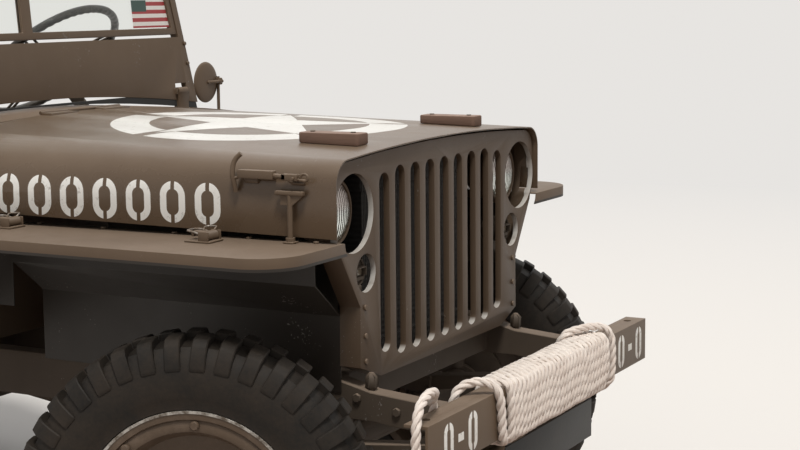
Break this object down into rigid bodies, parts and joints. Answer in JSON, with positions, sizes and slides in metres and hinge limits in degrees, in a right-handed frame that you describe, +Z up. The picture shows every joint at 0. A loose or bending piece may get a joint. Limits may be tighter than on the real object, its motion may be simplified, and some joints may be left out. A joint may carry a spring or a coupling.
{
  "type": "light open 4x4 utility car",
  "caption": "Open-topped light 4x4 utility car with a slotted grille, folding windscreen, tubular seats, bolted steel wheels, a rear spare wheel and a rope-wound front bumper.",
  "frame": {"origin": "on the ground under the middle of the car's bounding box", "axes": "+X to the car's left, +Y to its rear, +Z up; the car faces -Y"},
  "size_m": [1.6112, 3.3824, 1.6975],
  "materials": {
    "bare_steel": "worn",
    "body_paint": "satin, dusty",
    "chassis_paint": "matt, dusty",
    "engine_iron": "matt",
    "lamp_glass": "gloss",
    "lamp_red": "gloss",
    "mirror_head": "satin",
    "pane_glass": "clear",
    "plate_black": "satin",
    "rope_fibre": "laid fibre",
    "seal_rubber": "matt",
    "seat_canvas": "woven canvas",
    "steering_rim": "satin",
    "tyre_rubber": "dusty black",
    "wheel_paint": "satin",
    "wood": "painted"
  },
  "bodies": {
    "chassis": {"bumper_rope": "rope_fibre", "bumperettes": "body_paint", "chassis_frame": "chassis_paint", "cowl": "body_paint", "dash_panel": "body_paint", "driveline": "chassis_paint", "driver_seat_frame": "body_paint", "driver_seat_pads": "seat_canvas", "engine_block": "engine_iron", "exhaust": "bare_steel", "fenders": "body_paint", "floor_controls": "body_paint", "front_axle": "chassis_paint", "front_bumper": "body_paint", "front_lamps": "lamp_glass", "fuel_can": "body_paint", "fuel_tank": "chassis_paint", "grille": "body_paint", "hood_catches": "body_paint", "leaf_springs": "chassis_paint", "mirror": "mirror_head", "number_plate": "plate_black", "radiator": "plate_black", "rear_axle": "chassis_paint", "rear_carriers": "body_paint", "rear_panel": "body_paint", "rim_spare": "wheel_paint", "steering_column": "body_paint", "tail_lamps": "lamp_red", "tow_hook": "body_paint", "tub_floor": "body_paint", "tub_sides": "body_paint", "tyre_spare": "tyre_rubber", "wheel_houses": "body_paint"},
    "hood": {"hood": "body_paint", "hood_blocks": "wood", "hood_clamps": "body_paint"},
    "windscreen": {"windscreen_frame": "body_paint", "windscreen_seal": "seal_rubber", "glass_frame": "body_paint", "windscreen_glass": "pane_glass"},
    "knuckle_left": {"knuckle_left": "chassis_paint"},
    "knuckle_right": {"knuckle_right": "chassis_paint"},
    "tie_rod": {"tie_rod": "chassis_paint"},
    "wheel_front_left": {"rim_front_left": "wheel_paint", "tyre_front_left": "tyre_rubber"},
    "wheel_front_right": {"rim_front_right": "wheel_paint", "tyre_front_right": "tyre_rubber"},
    "wheel_rear_left": {"rim_rear_left": "wheel_paint", "tyre_rear_left": "tyre_rubber"},
    "wheel_rear_right": {"rim_rear_right": "wheel_paint", "tyre_rear_right": "tyre_rubber"},
    "steering_wheel": {"steering_wheel": "steering_rim"},
    "passenger_seat": {"passenger_seat_frame": "body_paint", "passenger_seat_pads": "seat_canvas"},
    "rear_seat": {"rear_seat_frame": "body_paint", "rear_seat_pads": "seat_canvas"},
    "tool_lid_left": {"tool_lid_left": "body_paint"},
    "tool_lid_right": {"tool_lid_right": "body_paint"}
  },
  "joints": [
    {"name": "steer_left", "type": "hinge", "parent": "chassis", "child": "knuckle_left", "pos_m": [0.56, -1.1648, 0.361], "axis": [0, 0, 1], "range_deg": [-48, 6]},
    {"name": "steer_right", "type": "hinge", "parent": "chassis", "child": "knuckle_right", "pos_m": [-0.56, -1.1648, 0.361], "axis": [0, 0, 1], "range_deg": [-48, 6]},
    {"name": "track_rod", "type": "hinge", "parent": "knuckle_left", "child": "tie_rod", "pos_m": [0.60838, -1.29083, 0.332], "axis": [0, 0, 1], "range_deg": [-8, 50]},
    {"name": "steering_wheel_turn", "type": "hinge", "parent": "chassis", "child": "steering_wheel", "pos_m": [0.335, -0.0528, 1.195], "axis": [0, 0.6691, 0.7431], "range_deg": [-680, 90]},
    {"name": "spin_front_left", "type": "hinge", "parent": "knuckle_left", "child": "wheel_front_left", "pos_m": [0.61788, -1.14258, 0.361], "axis": [0.9336, 0.3584, 0], "continuous": true},
    {"name": "spin_front_right", "type": "hinge", "parent": "knuckle_right", "child": "wheel_front_right", "pos_m": [-0.61788, -1.18702, 0.361], "axis": [0.9336, 0.3584, 0], "continuous": true},
    {"name": "spin_rear_left", "type": "hinge", "parent": "chassis", "child": "wheel_rear_left", "pos_m": [0.622, 0.8672, 0.361], "axis": [1, 0, 0], "continuous": true},
    {"name": "spin_rear_right", "type": "hinge", "parent": "chassis", "child": "wheel_rear_right", "pos_m": [-0.622, 0.8672, 0.361], "axis": [1, 0, 0], "continuous": true},
    {"name": "hood_hinge", "type": "hinge", "parent": "chassis", "child": "hood", "pos_m": [0, -0.4273, 1.0942], "axis": [-1, 0, 0], "range_deg": [0, 95]},
    {"name": "windscreen_fold", "type": "hinge", "parent": "chassis", "child": "windscreen", "pos_m": [0, -0.2888, 1.104], "axis": [-1, 0, 0], "range_deg": [-95, 0]},
    {"name": "passenger_seat_fold", "type": "hinge", "parent": "chassis", "child": "passenger_seat", "pos_m": [-0.335, 0.0052, 0.606], "axis": [1, 0, 0], "range_deg": [0, 45]},
    {"name": "rear_seat_fold", "type": "hinge", "parent": "chassis", "child": "rear_seat", "pos_m": [0, 0.8452, 0.661], "axis": [1, 0, 0], "range_deg": [0, 60]},
    {"name": "tool_lid_left_hinge", "type": "hinge", "parent": "chassis", "child": "tool_lid_left", "pos_m": [0.6165, 1.2692, 0.805], "axis": [1, 0, 0], "range_deg": [0, 90]},
    {"name": "tool_lid_right_hinge", "type": "hinge", "parent": "chassis", "child": "tool_lid_right", "pos_m": [-0.6165, 1.2692, 0.805], "axis": [1, 0, 0], "range_deg": [0, 90]}
  ],
  "couplings": [
    {"joint": "steer_right", "follows": "steer_left", "ratio": 1},
    {"joint": "track_rod", "follows": "steer_left", "ratio": -1},
    {"joint": "steering_wheel_turn", "follows": "steer_left", "ratio": 14}
  ]
}
